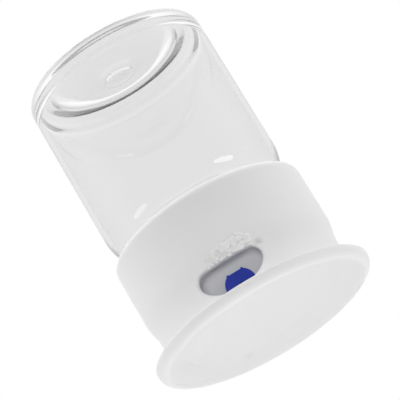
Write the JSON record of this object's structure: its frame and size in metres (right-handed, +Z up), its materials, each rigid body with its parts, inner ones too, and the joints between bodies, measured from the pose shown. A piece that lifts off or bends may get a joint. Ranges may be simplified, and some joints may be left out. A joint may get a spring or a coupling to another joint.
{
  "type": "drip dispenser",
  "caption": "Inverted clear glass jar screwed into a white base with a wide foot disc, and a blue metering plug in the side mouth that lets drops through.",
  "frame": {"origin": "centre of the foot disc's underside, on the surface it stands on", "axes": "+Z up along the jar's axis; the side mouth faces -Y"},
  "size_m": [0.0732, 0.0732, 0.0999],
  "materials": {
    "white_plastic": "satin moulded white plastic",
    "blue_plastic": "blue moulded plastic",
    "clear_glass": "clear smooth soda-lime glass",
    "seal_rubber": "black nitrile rubber",
    "silicone": "translucent white silicone",
    "gasket_foam": "white closed-cell foam",
    "natural_nylon": "natural nylon",
    "spring_steel": "stainless spring steel"
  },
  "bodies": {
    "base": {"base_body": "white_plastic", "foot_disc": "white_plastic", "valve_barrel": "white_plastic", "stem_seal": "seal_rubber", "stem_nut": "white_plastic", "vent_flap": "silicone"},
    "gasket": {"jar_gasket": "gasket_foam"},
    "jar": {"glass_jar": "clear_glass"},
    "plug": {"metering_plug": "blue_plastic", "front_plug_seal": "seal_rubber", "rear_plug_seal": "seal_rubber", "thrust_washer": "natural_nylon", "plug_clip": "spring_steel"}
  },
  "joints": [
    {"name": "jar_turn", "type": "hinge", "parent": "base", "child": "gasket", "pos_m": [0, 0, 0.024], "axis": [0, 0, 1], "range_deg": [0, 540]},
    {"name": "jar_lift", "type": "slide", "parent": "gasket", "child": "jar", "axis": [0, 0, 1], "range_m": [0, 0.0063]},
    {"name": "plug_turn", "type": "hinge", "parent": "base", "child": "plug", "pos_m": [0, -0.002, 0.0106], "axis": [0, -1, 0], "range_deg": [0, 90]}
  ],
  "couplings": [
    {"joint": "jar_lift", "follows": "jar_turn", "m_per_rad": 0.00066845}
  ]
}
